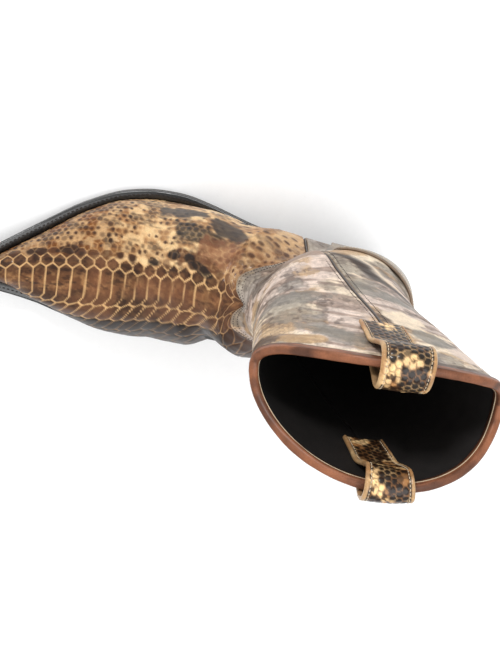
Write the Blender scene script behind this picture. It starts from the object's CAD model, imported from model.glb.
"""The looks of a pointed Western boot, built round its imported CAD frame.

Lengths are in millimetres until a mesh is made; Blender's objects are in metres. The boot
stands in the CAD's own frame: +Z up, -Y towards the toe, +X towards the inner side.
"""

import math

import bpy
import numpy as np
from mathutils import Matrix, Vector


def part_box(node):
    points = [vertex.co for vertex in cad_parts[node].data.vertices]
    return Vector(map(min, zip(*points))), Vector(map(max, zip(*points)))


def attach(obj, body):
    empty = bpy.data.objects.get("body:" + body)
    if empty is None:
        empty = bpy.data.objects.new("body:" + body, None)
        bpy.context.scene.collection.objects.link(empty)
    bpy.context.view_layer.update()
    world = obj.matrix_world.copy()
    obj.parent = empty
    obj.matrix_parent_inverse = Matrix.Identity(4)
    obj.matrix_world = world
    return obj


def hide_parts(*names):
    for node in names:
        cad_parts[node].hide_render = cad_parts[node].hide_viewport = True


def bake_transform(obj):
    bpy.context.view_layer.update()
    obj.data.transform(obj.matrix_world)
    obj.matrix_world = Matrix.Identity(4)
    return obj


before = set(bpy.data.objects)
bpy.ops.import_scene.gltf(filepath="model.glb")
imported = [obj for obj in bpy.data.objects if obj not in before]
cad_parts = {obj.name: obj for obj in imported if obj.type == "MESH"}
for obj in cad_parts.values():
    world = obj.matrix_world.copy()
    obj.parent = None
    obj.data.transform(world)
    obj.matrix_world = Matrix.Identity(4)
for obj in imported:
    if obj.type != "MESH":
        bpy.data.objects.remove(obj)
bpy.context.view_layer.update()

# ---------------------------------------------------------------- the CAD's driving dimensions

GAP = 0.3
SOLE_GAP = 0.5
SOLE_LENGTH = 300.0
HEEL_MIDDLE = 33.0
HEEL_HEIGHT = 36.8
HEEL_SEAT_DROP = 4.0
TOE_SPRING = 19.0
HEEL_HALF_WIDTH = 30.0
WAIST = {"lateral": 37.0, "medial": 30.0}
BALL = {"lateral": 51.5, "medial": 53.0}
TOE_HALF_WIDTH = 10.0
BALL_SHIFT = 3.0
TOE_SHIFT = 23.0
TOE_ROUNDING = 14.0
HEEL_ROUNDING = 36.0
OUTSOLE_THICK = 5.0
WELT_THICK = 4.0
WELT_EXTENSION = 6.5
TOE_EXTENSION = 8.0
HEEL_EXTENSION = 1.0
WELT_WIDTH = 13.0
HEEL_BLOCK_LENGTH = 64.0
HEEL_BASE_LENGTH = 50.0
HEEL_UNDERCUT = 7.0
HEEL_TAPER = 4.5
TOP_LIFT_THICK = 6.2
LIFT_THICK = 6.2
LIFT_COUNT = 3
UPPER_THICK = 1.6
LINING_THICK = 1.2
HEEL_CUP_THICK = 1.8
OVERLAP = 10.0
PIPING_RADIUS = 1.1
PIPING_DEPTH = 0.4
TOE_BOX_HEIGHT = 13.0
BALL_HEIGHT = 50.0
INSTEP_HEIGHT = 80.0
INSTEP = {"lateral": 44.0, "medial": 45.0}
THROAT_HEIGHT = 120.0
THROAT_REACH = 109.0
ANKLE_BACK = 7.0
ANKLE = {"lateral": 43.5, "medial": 35.0}
HEEL_CUP_HALF = 34.0
SHAFT_HEIGHT = 276.0
FRONT_DIP = 36.0
BACK_DIP = 32.0
MOUTH_LENGTH = 141.0
MOUTH_MIDDLE = 37.5
MOUTH_SHIFT = 3.0
MOUTH = {"lateral": 22.5, "medial": 43.0}
DRIFT = {"lateral": 1.0, "medial": 0.9}
SEAM_FOOT = 78.0
COUNTER_FRONT = 56.0
COUNTER_HEIGHT = 58.0
BINDING_THICK = 0.9
BINDING_LEG = 4.0
STRAP_WIDTH = 26.0
STRAP_THICK = 2.4
STRAP_OUTSIDE = 42.0
STRAP_INSIDE = 46.0
STRAP_SHIFT = {"lateral": 0.0, "medial": 4.0}
STRAP_STAND = {"lateral": 8.0, "medial": 2.0}
STRAP_INSIDE_STAND = 7.5
STRAP_RISE = 14.0

# ---------------------------------------------------------------- small tools


def mix(a, b, t):
    return a + (b - a) * t


def smooth(low, high, x):
    t = np.clip((np.asarray(x, float) - low) / (high - low), 0, 1)
    return t * t * (3 - 2 * t)


def curve(*points):
    """A curve through points (x, y) that never overshoots between them."""
    xs, ys = np.array(points, float).T
    rise = np.diff(ys) / np.diff(xs)
    before, after = rise[:-1], rise[1:]
    total = np.where(before + after == 0, 1, before + after)
    inner = np.where(before * after <= 0, 0, 2 * before * after / total)
    slopes = np.concatenate([rise[:1], inner, rise[-1:]])

    def at(x):
        x = np.asarray(x, float)
        i = np.clip(np.searchsorted(xs, x, side="left") - 1, 0, len(xs) - 2)
        width = xs[i + 1] - xs[i]
        t = np.clip((x - xs[i]) / width, 0, 1)
        value = ys[i] * (1 + 2 * t) * (1 - t) ** 2 + ys[i + 1] * t * t * (3 - 2 * t)
        turn = slopes[i] * t * (1 - t) ** 2 + slopes[i + 1] * t * t * (t - 1)
        below = slopes[0] * np.minimum(x - xs[0], 0)
        above = slopes[-1] * np.maximum(x - xs[-1], 0)
        return value + turn * width + below + above

    return at


def solve(target, low, high, rising):
    for _ in range(40):
        middle = (low + high) / 2
        if rising(middle) < target:
            low = middle
        else:
            high = middle
    return (low + high) / 2


def round_end(x):
    return np.sqrt(np.maximum(0, 1 - (1 - np.clip(x, 0, 1)) ** 2))


def unit(vectors):
    return vectors / np.maximum(np.linalg.norm(vectors, axis=-1, keepdims=True), 1e-12)


def hashed(*keys, seed=0):
    """A repeatable random number from 0 to 1 for whole-number keys."""
    total = np.full(np.broadcast(*keys).shape, seed * 7919 + 12345, dtype=np.int64)
    for factor, key in zip((73856093, 19349663, 83492791), keys):
        total = total ^ (np.asarray(key, np.int64) * factor)
    total = (total ^ (total >> 13)) * 1274126177
    total = (total ^ (total >> 16)) & 0x7FFFFFFF
    return total / float(0x7FFFFFFF)


def noise(x, y, seed=0):
    """Smooth noise from 0 to 1, with features one unit across."""
    i, j = np.floor(x).astype(np.int64), np.floor(y).astype(np.int64)
    s, t = smooth(0, 1, x - i), smooth(0, 1, y - j)
    low = mix(hashed(i, j, seed=seed), hashed(i + 1, j, seed=seed), s)
    high = mix(hashed(i, j + 1, seed=seed), hashed(i + 1, j + 1, seed=seed), s)
    return mix(low, high, t)


def rough_noise(x, y, seed=0, octaves=3):
    total, weight = 0.0, 0.0
    for k in range(octaves):
        total = total + noise(x * 2**k, y * 2**k, seed + k) / 2**k
        weight += 1 / 2**k
    return total / weight


def rgb(red, green, blue):
    """A display colour, 0 to 255, as linear light."""
    c = np.array([red, green, blue], float) / 255
    return np.where(c <= 0.04045, c / 12.92, ((c + 0.055) / 1.055) ** 2.4)


def spread(colour, places):
    """One colour at every one of the places."""
    return np.broadcast_to(colour, places.shape + (3,))


def blend_colours(base, colour, share):
    return base + (colour - base) * np.asarray(share)[..., None]


def deepened(colour, strength, middle=0.2):
    """More contrast: colours darker than the middle go darker, and lighter ones lighter."""
    light = np.maximum(colour.mean(-1, keepdims=True), 1e-4)
    return np.minimum(colour * (light / middle) ** strength, 0.9)


# ---------------------------------------------------------------- sole outline

BALL_BACK = 0.607
BALL_FRONT = 0.67
bottom_of_sole = curve(
    (0, HEEL_HEIGHT),
    (HEEL_BLOCK_LENGTH, HEEL_HEIGHT - HEEL_SEAT_DROP),
    (0.39 * SOLE_LENGTH, 0.5 * (HEEL_HEIGHT - HEEL_SEAT_DROP)),
    ((BALL_BACK + 0.01) * SOLE_LENGTH, 0),
    ((BALL_FRONT + 0.01) * SOLE_LENGTH, 0),
    (0.835 * SOLE_LENGTH, 0.2 * TOE_SPRING),
    (SOLE_LENGTH, TOE_SPRING),
)


def top_of_sole(s):
    return bottom_of_sole(s) + OUTSOLE_THICK


def top_of_welt(s):
    return top_of_sole(s) + SOLE_GAP + WELT_THICK


def feather_height(s):
    return top_of_welt(s) + SOLE_GAP


def side_widths(waist, ball):
    return curve(
        (0, HEEL_HALF_WIDTH),
        (0.12 * SOLE_LENGTH, HEEL_HALF_WIDTH * 1.02),
        (0.235 * SOLE_LENGTH, mix(HEEL_HALF_WIDTH, waist, 0.2)),
        (0.35 * SOLE_LENGTH, waist),
        (0.463 * SOLE_LENGTH, mix(waist, ball, 0.62)),
        (0.545 * SOLE_LENGTH, mix(waist, ball, 0.94)),
        (BALL_BACK * SOLE_LENGTH, ball),
        (BALL_FRONT * SOLE_LENGTH, ball * 0.97),
        (0.763 * SOLE_LENGTH, ball * 0.81),
        (0.855 * SOLE_LENGTH, ball * 0.56),
        (0.938 * SOLE_LENGTH, ball * 0.34),
        (SOLE_LENGTH, TOE_HALF_WIDTH),
    )


widths = {side: side_widths(WAIST[side], BALL[side]) for side in WAIST}


def centre_line(s):
    toe = np.clip((s / SOLE_LENGTH - 0.46) / 0.54, 0, 1)
    return BALL_SHIFT * smooth(0.1, 0.46, s / SOLE_LENGTH) + TOE_SHIFT * toe * toe


def half_width(side, s, inset):
    slope = widths[side](s + 1) - widths[side](s)
    width = widths[side](s) - inset * np.hypot(1, slope)
    toe = round_end((SOLE_LENGTH - inset - s) / TOE_ROUNDING)
    heel = round_end((s - inset) / HEEL_ROUNDING)
    return np.maximum(0.05, width * toe * heel)


def feather_inset(s):
    share = s / SOLE_LENGTH
    side = mix(HEEL_EXTENSION, WELT_EXTENSION, smooth(0.2, 0.37, share))
    return mix(side, TOE_EXTENSION, smooth(0.68, 0.84, share))


def feather_half(side, s):
    return half_width(side, s, feather_inset(s))


def to_y(s):
    return HEEL_MIDDLE - s


# ---------------------------------------------------------------- the upper's outer face
#
# v runs from the toe's tip (0) over the instep to the top of the shaft (1). u is the turn
# round a section in half turns: 0 on the front centre line, positive on the inner side.

TIP = SOLE_LENGTH - TOE_EXTENSION
HEEL_POINT = HEEL_EXTENSION
BACK_V = 0.5
NOSE_V = 0.012
FOOT_V = 0.415
MOUTH_FRONT = MOUTH_MIDDLE + MOUTH_LENGTH / 2
MOUTH_BACK = MOUTH_MIDDLE - MOUTH_LENGTH / 2

top_along = curve(
    (0, TIP),
    (0.05, TIP - 10),
    (0.11, TIP - 28),
    (0.19, TIP - 58),
    (0.27, TIP - 94),
    (0.33, TIP - 124),
    (0.38, mix(THROAT_REACH, TIP, 0.2)),
    (0.43, mix(THROAT_REACH, TIP, 0.08)),
    (BACK_V, THROAT_REACH),
    (0.6, THROAT_REACH - 3),
    (0.7, THROAT_REACH - 4),
    (0.8, THROAT_REACH - 3.5),
    (0.9, mix(THROAT_REACH - 3, MOUTH_FRONT, 0.4)),
    (1, MOUTH_FRONT),
    (1.08, MOUTH_FRONT + 1),
)
top_rise = curve(
    (0, 2),
    (0.05, TOE_BOX_HEIGHT),
    (0.11, TOE_BOX_HEIGHT + 9),
    (0.19, mix(TOE_BOX_HEIGHT, BALL_HEIGHT, 0.6)),
    (0.27, BALL_HEIGHT * 0.97),
    (0.33, mix(BALL_HEIGHT, INSTEP_HEIGHT, 0.5)),
    (0.38, INSTEP_HEIGHT * 0.95),
    (0.43, INSTEP_HEIGHT * 1.04),
)
front_height = curve(
    (0.43, feather_height(top_along(0.43)) + INSTEP_HEIGHT * 1.04),
    (BACK_V, THROAT_HEIGHT),
    (0.6, THROAT_HEIGHT + 22),
    (0.7, THROAT_HEIGHT + 42),
    (0.8, mix(THROAT_HEIGHT, SHAFT_HEIGHT, 0.45)),
    (0.9, mix(THROAT_HEIGHT, SHAFT_HEIGHT, 0.72)),
    (1, SHAFT_HEIGHT),
    (1.08, SHAFT_HEIGHT + 30),
)
bottom_along = curve(
    (0, TIP),
    (0.05, TIP - 10),
    (0.11, TIP - 28),
    (0.19, TIP - 58),
    (0.27, TIP - 96),
    (0.33, TIP - 132),
    (0.38, mix(SEAM_FOOT, TIP, 0.21)),
    (FOOT_V, SEAM_FOOT),
    (0.455, SEAM_FOOT * 0.5),
    (BACK_V, HEEL_POINT),
)
SEAT_HEIGHT = float(feather_height(HEEL_POINT))
back_along = curve(
    (BACK_V, HEEL_POINT),
    (0.56, HEEL_POINT - 0.5),
    (0.62, mix(HEEL_POINT, ANKLE_BACK, 0.4)),
    (0.7, ANKLE_BACK),
    (0.76, ANKLE_BACK - 2),
    (0.83, mix(ANKLE_BACK, MOUTH_BACK, 0.3)),
    (0.9, mix(ANKLE_BACK, MOUTH_BACK, 0.6)),
    (1, MOUTH_BACK),
    (1.08, MOUTH_BACK - 3),
)
back_height = curve(
    (BACK_V, SEAT_HEIGHT),
    (0.56, SEAT_HEIGHT + 18),
    (0.62, SEAT_HEIGHT + 40),
    (0.7, mix(SEAT_HEIGHT, SHAFT_HEIGHT, 0.34)),
    (0.76, mix(SEAT_HEIGHT, SHAFT_HEIGHT, 0.46)),
    (0.83, mix(SEAT_HEIGHT, SHAFT_HEIGHT, 0.61)),
    (0.9, mix(SEAT_HEIGHT, SHAFT_HEIGHT, 0.78)),
    (1, SHAFT_HEIGHT),
    (1.08, SHAFT_HEIGHT + 30),
)


def leg_widths(instep, ankle, mouth, drift):
    return curve(
        (0.27, instep),
        (0.4, instep),
        (0.46, mix(instep, HEEL_CUP_HALF, 0.7)),
        (BACK_V, HEEL_CUP_HALF + 1),
        (0.58, mix(HEEL_CUP_HALF, ankle, 0.8)),
        (0.64, ankle),
        (0.72, mix(ankle, mouth, 0.25 * drift)),
        (0.8, mix(ankle, mouth, 0.48 * drift)),
        (0.9, mix(ankle, mouth, 0.75 * drift)),
        (1, mouth),
        (1.08, mouth),
    )


leg_half = {side: leg_widths(INSTEP[side], ANKLE[side], MOUTH[side], DRIFT[side]) for side in MOUTH}
leg_centre = curve(
    (BACK_V, 0),
    (0.6, 0),
    (0.8, 0.35 * MOUTH_SHIFT),
    (1, MOUTH_SHIFT),
    (1.08, MOUTH_SHIFT * 1.3),
)
ridge = curve((0, 1.1), (0.25, 1.25), (0.42, 1.08), (0.55, 1), (1.08, 1))
blunt = curve(
    (0, 1),
    (FOOT_V, 1),
    (0.46, 0.9),
    (BACK_V, 0.84),
    (0.6, 0.9),
    (0.72, 0.86),
    (0.85, 0.84),
    (1, 1),
    (1.08, 1),
)


def section_width(side, v):
    foot = feather_half(side, SEAM_FOOT) / leg_half[side](FOOT_V)
    share = mix(0.985, foot, smooth(0.31, FOOT_V, v))
    return np.where(v >= FOOT_V, leg_half[side](v), feather_half(side, bottom_along(v)) / share)


def end_of_side(side, v):
    share = np.clip(feather_half(side, bottom_along(v)) / section_width(side, v), 0, 1)
    return np.where(v >= BACK_V, 1, 1 - np.arcsin(share ** (1 / blunt(v))) / math.pi)


def end_u(u, v):
    return np.where(u < 0, end_of_side("lateral", v), end_of_side("medial", v))


def face_point(u, v):
    u, v = np.broadcast_arrays(np.asarray(u, float), np.asarray(v, float))
    whole = v >= BACK_V
    u = np.where(whole & (np.abs(u) > 1), u - 2 * np.sign(u), u)
    end = end_u(u, v)
    angle = np.minimum(np.abs(u), end) * math.pi
    down = (1 - np.cos(angle)) / (1 - np.cos(end * math.pi))
    front_s = top_along(v)
    rise = feather_height(front_s) + top_rise(v) * round_end(v / 0.05)
    front_z = np.where(v < 0.43, rise, front_height(v))
    back_s = np.where(whole, back_along(v), bottom_along(v))
    back_z = np.where(whole, back_height(v), feather_height(back_s))
    along = mix(front_s, back_s, down)
    centre = centre_line(along)
    opened = centre * (1 - smooth(0.36, BACK_V, v) * (1 - down))
    closed = leg_centre(v) + centre * down * (1 - smooth(BACK_V, 0.6, v))
    power = np.where(angle < math.pi / 2, ridge(v), blunt(v))
    width = np.where(u < 0, section_width("lateral", v), section_width("medial", v))
    reach = width * np.maximum(np.sin(angle), 0) ** power * np.where(u < 0, -1, 1)
    x = np.where(whole, closed, opened) + reach
    return np.stack([x, to_y(along), mix(front_z, back_z, down)], -1)


def face_frame(u, v):
    """Points on the face and its outward normals."""
    step = 2e-3
    across = face_point(u + step, v) - face_point(u - step, v)
    along = face_point(u, v + step) - face_point(u, np.maximum(1e-4, v - step))
    return face_point(u, v), unit(np.cross(across, along))


def skin(u, v, offset):
    points, normals = face_frame(u, v)
    return points + normals * np.asarray(offset)[..., None]


def u_per_mm(u, v):
    back = u - 0.01 * np.where(u < 0, -1, 1)
    return 0.01 / np.linalg.norm(face_point(u, v) - face_point(back, v), axis=-1)


def v_per_mm(u, v):
    return 0.02 / np.linalg.norm(face_point(u, v + 0.01) - face_point(u, v - 0.01), axis=-1)


# ---------------------------------------------------------------- lines on the upper


def v_at_height(u, z):
    return solve(z, 0.6, 1.08, lambda v: float(face_point(u, v)[2]))


FRONT_LIP_V = v_at_height(0, SHAFT_HEIGHT - FRONT_DIP)
BACK_LIP_V = v_at_height(1, SHAFT_HEIGHT - BACK_DIP)


def lip_v(u):
    low = np.where(np.abs(np.mod(u + 1, 2) - 1) < 0.5, FRONT_LIP_V, BACK_LIP_V)
    return 1 - (1 - low) * np.cos(u * math.pi) ** 2


def seam_v(b):
    return mix(FOOT_V, 1, b)


seam_along = curve(
    (FOOT_V, SEAM_FOOT),
    (BACK_V, SEAM_FOOT - 3),
    (0.6, SEAM_FOOT - 6),
    (0.7, SEAM_FOOT - 14),
    (0.8, mix(MOUTH_MIDDLE, SEAM_FOOT, 0.42)),
    (0.9, mix(MOUTH_MIDDLE, SEAM_FOOT, 0.12)),
    (1, MOUTH_MIDDLE),
)


def seam_u(sign, b):
    """The turn of the side seam, without its sign, for sign -1 (outer side) or 1."""
    v = seam_v(b)
    end = end_u(sign, v)
    back = np.where(v < BACK_V, bottom_along(v), back_along(v))
    down = np.clip((top_along(v) - seam_along(v)) / (top_along(v) - back), 0, 1)
    return np.arccos(1 - down * (1 - np.cos(end * math.pi))) / math.pi


def beside_seam(sign, b, shift):
    u = seam_u(sign, b)
    return np.minimum(end_u(sign, seam_v(b)), u + shift * u_per_mm(np.abs(u), seam_v(b)))


JUNCTION_B = 0.2
scallop = curve(
    (0, 0.49),
    (0.1, 0.464),
    (0.2, 0.45),
    (0.35, 0.443),
    (0.5, 0.456),
    (0.65, 0.482),
    (0.82, 0.508),
    (1, seam_v(JUNCTION_B)),
)


def junction_v(c):
    return scallop(np.abs(c))


# The places on a piece of leather. c runs across the front of the shaft and d up it, e runs
# across the vamp and j along it from the toe, a runs across the back of the shaft and b up it.
# The leather stops SEAM_EDGE short of the middle of the side seam.

SEAM_EDGE = 0.95
FOOT_ROWS = 12
SIDE_ROWS = 5


def front_place(c, d, edge=SEAM_EDGE):
    sign = np.where(c < 0, -1, 1)
    u = c * beside_seam(sign, mix(JUNCTION_B, 1, d), -edge)
    return u, mix(junction_v(c), lip_v(u), d)


def vamp_place(e, j, edge=SEAM_EDGE):
    sign = np.where(e < 0, -1, 1)
    w = np.clip(j / FOOT_ROWS, 0, 1)
    foot_v = mix(NOSE_V, FOOT_V, mix(w * w, w, 0.75))
    k = np.clip((j - FOOT_ROWS) / SIDE_ROWS, 0, 1)
    reach = beside_seam(sign, k * JUNCTION_B, -edge)
    side_v = mix(FOOT_V, junction_v(e), k)
    in_foot = j <= FOOT_ROWS
    u = np.where(in_foot, e * end_u(e, foot_v), e * reach)
    v = np.where(in_foot, foot_v, side_v)
    under = OVERLAP / (SHAFT_HEIGHT - FRONT_DIP - THROAT_HEIGHT)
    beyond_u, beyond_v = front_place(e, np.clip(j - FOOT_ROWS - SIDE_ROWS, 0, 1) * under, edge)
    beyond = j > FOOT_ROWS + SIDE_ROWS
    return np.where(beyond, beyond_u, u), np.where(beyond, beyond_v, v)


def back_place(a, b, edge=SEAM_EDGE):
    sign = np.where(a < 0, -1, 1)
    seam_end = end_u(sign, FOOT_V)
    foot_end = FOOT_V + edge * v_per_mm(seam_end * sign, FOOT_V)
    bottom = BACK_V - (BACK_V - foot_end) * a * a
    foot = end_u(sign, foot_end)
    lift = end_u(sign, bottom) - (1 - (1 - foot) * np.abs(a))
    seam = np.maximum(foot * (1 - smooth(0, 0.05, b)), beside_seam(sign, b, edge))
    turn = 1 - (1 - seam) * np.abs(a) + lift * (1 - smooth(0, 0.25, b))
    u = sign * turn
    return u, mix(bottom, lip_v(u), b)


counter_front_v = solve(-COUNTER_FRONT, FOOT_V, BACK_V, lambda v: -float(bottom_along(v)))
COUNTER_END = math.sqrt((BACK_V - counter_front_v) / (BACK_V - FOOT_V))


def height_behind(b):
    return float(face_point(*back_place(np.array(0.0), np.array(b), 0.0))[2])


COUNTER_TOP = solve(SEAT_HEIGHT + COUNTER_HEIGHT, 0, 1, height_behind)
BACK_START = 0.003


def counter_line(a):
    return COUNTER_TOP * (1 - 0.25 * a * a)


# ---------------------------------------------------------------- leather patterns
#
# q is the distance along a piece of leather and p the distance across it. Cells are found as
# the nearest of many seeds; half the difference of the two nearest is the way to the border.


class Cells:
    def __init__(self, shape):
        self.first = np.full(shape, 1e9)
        self.second = np.full(shape, 1e9)
        self.column = np.zeros(shape, np.int64)
        self.row = np.zeros(shape, np.int64)
        self.seed_q = np.zeros(shape)
        self.seed_p = np.zeros(shape)

    def offer(self, distance, column, row, seed_q, seed_p):
        closer = distance < self.first
        self.second = np.where(closer, self.first, np.minimum(self.second, distance))
        self.first = np.where(closer, distance, self.first)
        self.column = np.where(closer, column, self.column)
        self.row = np.where(closer, row, self.row)
        self.seed_q = np.where(closer, seed_q, self.seed_q)
        self.seed_p = np.where(closer, seed_p, self.seed_p)

    def border(self):
        return (self.second - self.first) / 2

    def random(self, seed):
        return hashed(self.column, self.row, seed=seed)


def lattice(cells, q, p, pitch, spacing, start, row_offset, seed, jitter=0.12, where=True):
    """Offers a hexagonal lattice of seeds, with rows from p = start on."""
    middle = np.rint((p - start) / spacing).astype(np.int64)
    for row in (middle - 1, middle, middle + 1):
        valid = (row >= 0) & where
        phase = 0.5 * ((row + row_offset) % 2)
        low = np.floor(q / pitch - phase).astype(np.int64)
        for column in (low, low + 1):
            shift_q = (hashed(column, row, seed=seed) - 0.5) * 2 * jitter * pitch
            shift_p = (hashed(column, row, seed=seed + 1) - 0.5) * 2 * jitter * spacing
            seed_q = (column + phase) * pitch + shift_q
            seed_p = start + row * spacing + shift_p
            distance = np.hypot(q - seed_q, p - seed_p)
            distance = np.where(valid, distance, 1e9)
            cells.offer(distance, column, row + row_offset, seed_q, seed_p)


PLATE_PITCH = 9.8
plate_centre = curve((0, -8), (20, -9), (60, -10), (100, -9), (130, -6), (160, -2), (200, -3))
plate_half = curve((0, 7), (20, 11), (60, 12.5), (100, 11.5), (130, 9), (150, 9), (200, 7))


def belly_cells(q, p):
    """Wide plates across the middle, large scales on the inner side, small ones outside."""
    away = p - plate_centre(q)
    outer = away > 0
    beyond = np.abs(away) - plate_half(q) + 2.5
    slant = np.where(outer, 0.12, 0.85) * np.maximum(beyond, 0)
    along = q + slant + 1.1 * (noise(p / 14, q / 30, 61) - 0.5)
    cells = Cells(q.shape)
    low = np.floor(along / PLATE_PITCH).astype(np.int64)
    for column in (low - 1, low, low + 1, low + 2):
        shift = (hashed(column, column, seed=3) - 0.5) * 0.9
        seed_q = (column + 0.5) * PLATE_PITCH + shift
        distance = np.hypot(along - seed_q, np.maximum(beyond, 0) * 1.15)
        cells.offer(distance, column, 0, seed_q, 0)
    lattice(cells, along, beyond, PLATE_PITCH, 6.6, 6.6, 0, 5, 0.06, outer & (beyond < 16))
    lattice(cells, along, beyond, PLATE_PITCH / 2, 4.1, 18.2, 4, 7, 0.14, outer)
    lattice(cells, along, beyond, PLATE_PITCH, 12.5, 11.0, 0, 9, 0.07, ~outer)
    return cells, beyond, outer, along


def dome(cells, width):
    """Height of scales, from 0 in their borders to 1 on top."""
    return smooth(0, width, cells.border()) * 0.7 + 0.3 * smooth(0, 2.5 * width, cells.border())


def ellipse(q, p, centre, radii, turn=0.0, seed=0):
    """1 inside a blotch with a wavy edge, 0 outside."""
    a, b = q - centre[0], p - centre[1]
    a, b = a * math.cos(turn) + b * math.sin(turn), b * math.cos(turn) - a * math.sin(turn)
    wave = (rough_noise(q / 6, p / 6, seed + 70) - 0.5) * 0.9
    return 1 - smooth(0.8, 1.08, np.hypot(a / radii[0], b / radii[1]) + wave)


def blotched(colour, q, p, blotches):
    """Lays on blotches, each with its centre, radii, turn, colour, share and seed."""
    for centre, radii, turn, kind, share, seed in blotches:
        colour = blend_colours(colour, kind, share * ellipse(q, p, centre, radii, turn, seed))
    return colour


CREAM = rgb(222, 182, 128)
PALE = rgb(208, 174, 128)
TAN = rgb(168, 122, 78)
BROWN = rgb(122, 76, 46)
RUST = rgb(150, 98, 66)
DARK = rgb(74, 46, 32)
SOOT = rgb(50, 40, 36)
GREY = rgb(74, 62, 56)
SHADE = rgb(76, 55, 44)


def vamp_leather(q, p):
    """Colour and height of the vamp's snakeskin."""
    cells, beyond, outer, along = belly_cells(q, p)
    tone = cells.random(21)
    plate = cells.row == 0
    cloud = rough_noise(q / 22, p / 22, 31)
    fine = rough_noise(q / 3.2, p / 3.2, 35)
    end = np.clip((p - plate_centre(q)) / plate_half(q), -1, 1)

    streak = rough_noise(q / 5, p / 2.2, 37)
    body = blend_colours(spread(BROWN, q), TAN, 0.7 * smooth(0.35, 0.8, fine) + 0.3 * tone)
    body = blend_colours(body, DARK, 0.75 * smooth(0.25, 0.9, end) * (0.35 + 0.65 * streak))
    body = blend_colours(body, DARK, 0.6 * smooth(0.52, 0.72, streak))
    body = blend_colours(body, SHADE, 0.6 * smooth(-0.2, -0.9, end))
    body = blend_colours(body, RUST, 0.45 * smooth(0.45, 0.7, cloud))

    spot = np.hypot(along - cells.seed_q, beyond - cells.seed_p)
    clumps = rough_noise(cells.seed_q / 12, cells.seed_p / 9, 41)
    speckle = smooth(0.35, 0.75, cells.random(22) * 0.5 + clumps * 0.6)
    near_toe = 1 - smooth(70, 120, q)
    mottle = rough_noise(q / 7, p / 5, 43)
    tan_share = 0.55 * near_toe + 0.9 * smooth(0.42, 0.66, mottle)
    side_base = blend_colours(spread(PALE, q), TAN, tan_share)
    side_base = blend_colours(side_base, SHADE, 0.6 * smooth(0.5, 0.68, rough_noise(q / 9, p / 4, 45)))
    side_spot = blend_colours(spread(BROWN, q), DARK, 0.35 + 0.5 * tone)
    size = np.where(cells.row < 4, 3.4, 1.5) * (0.7 + 0.7 * tone)
    side = blend_colours(side_base, side_spot, (1 - smooth(0.5, 1.1, spot / size)) * speckle)
    side = blend_colours(side, side_spot, np.where(cells.row < 4, 0.75, 0.3) * near_toe * (0.3 + 0.7 * tone))
    band = np.where(cells.row < 2, 1, 0.35) * smooth(0.4, 0.6, rough_noise(q / 10, p / 6, 49))
    side = blend_colours(side, BROWN, 0.6 * band * (cells.row < 5))

    under = blend_colours(spread(SHADE, q), BROWN, 0.35 * tone + 0.25 * fine)
    under = 0.55 * blend_colours(under, DARK, 0.35 * smooth(0.3, 0.9, cloud))
    colour = np.where(plate[..., None], body, np.where(outer[..., None], side, under))

    edge = 1 - smooth(np.where(plate, 0.3, 0.15), np.where(plate, 0.75, 0.55), cells.border())
    strength = np.where(plate, 0.95, np.where(outer, 0.55, 0.6))
    strength = strength * (0.7 + 0.3 * noise(q / 8, p / 8, 47))
    rim = blend_colours(spread(CREAM, q), TAN, np.where(plate, 0.15, 0.35) + 0.3 * fine)
    colour = blend_colours(colour, rim, edge * strength)

    smooth_skin = np.zeros(q.shape)
    for centre, radii, turn, kind, seed in (
        ((139, 58), (17, 6.5), 0.1, GREY, 1),
        ((170, 50), (14, 7.0), -0.5, GREY, 2),
        ((153, 41), (19, 8.0), -0.25, SOOT, 3),
        ((176, 29), (19, 11.0), -0.5, RUST, 4),
        ((150, 22), (11, 4.0), 0.1, BROWN, 14),
        ((166, 20), (12, 5.0), -0.3, BROWN, 15),
        ((129, 13), (5.0, 3.0), 0.0, SOOT, 6),
        ((143, 21), (6.0, 3.2), 0.1, SOOT, 7),
        ((156, 21), (5.0, 3.4), 0.0, SOOT, 8),
        ((168, 16), (8.0, 3.2), -0.4, SOOT, 9),
        ((40, 12), (9.0, 3.0), 0.0, DARK, 10),
        ((64, 14), (9.0, 3.0), 0.1, DARK, 11),
    ):
        inside = ellipse(q, p, centre, radii, turn, seed)
        worn = kind is RUST or kind is GREY
        share = 0.85 if kind is GREY else 0.8 * (1 - 0.35 * edge)
        colour = blend_colours(colour, kind * (0.85 + 0.3 * fine[..., None]), inside * share)
        smooth_skin = np.maximum(smooth_skin, inside if worn else 0)
    rear = smooth(176, 200, q)
    colour = blend_colours(colour, RUST * 0.8, 0.45 * rear)

    height = 0.34 * dome(cells, np.where(plate, 1.3, 0.9)) * (1 - 0.75 * smooth_skin)
    creases = (rough_noise(p / 26, q / 5.5, 53) - 0.5) * smooth(120, 185, q) * 1.1
    height = height + creases + 0.35 * (rough_noise(q / 16, p / 16, 57) - 0.5)
    return colour, height


ASH = rgb(196, 178, 166)
SAND = rgb(212, 194, 170)
SLATE = rgb(124, 120, 112)
UMBER = rgb(88, 70, 60)
OCHRE = rgb(172, 138, 96)
FAWN = rgb(150, 128, 114)


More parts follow.
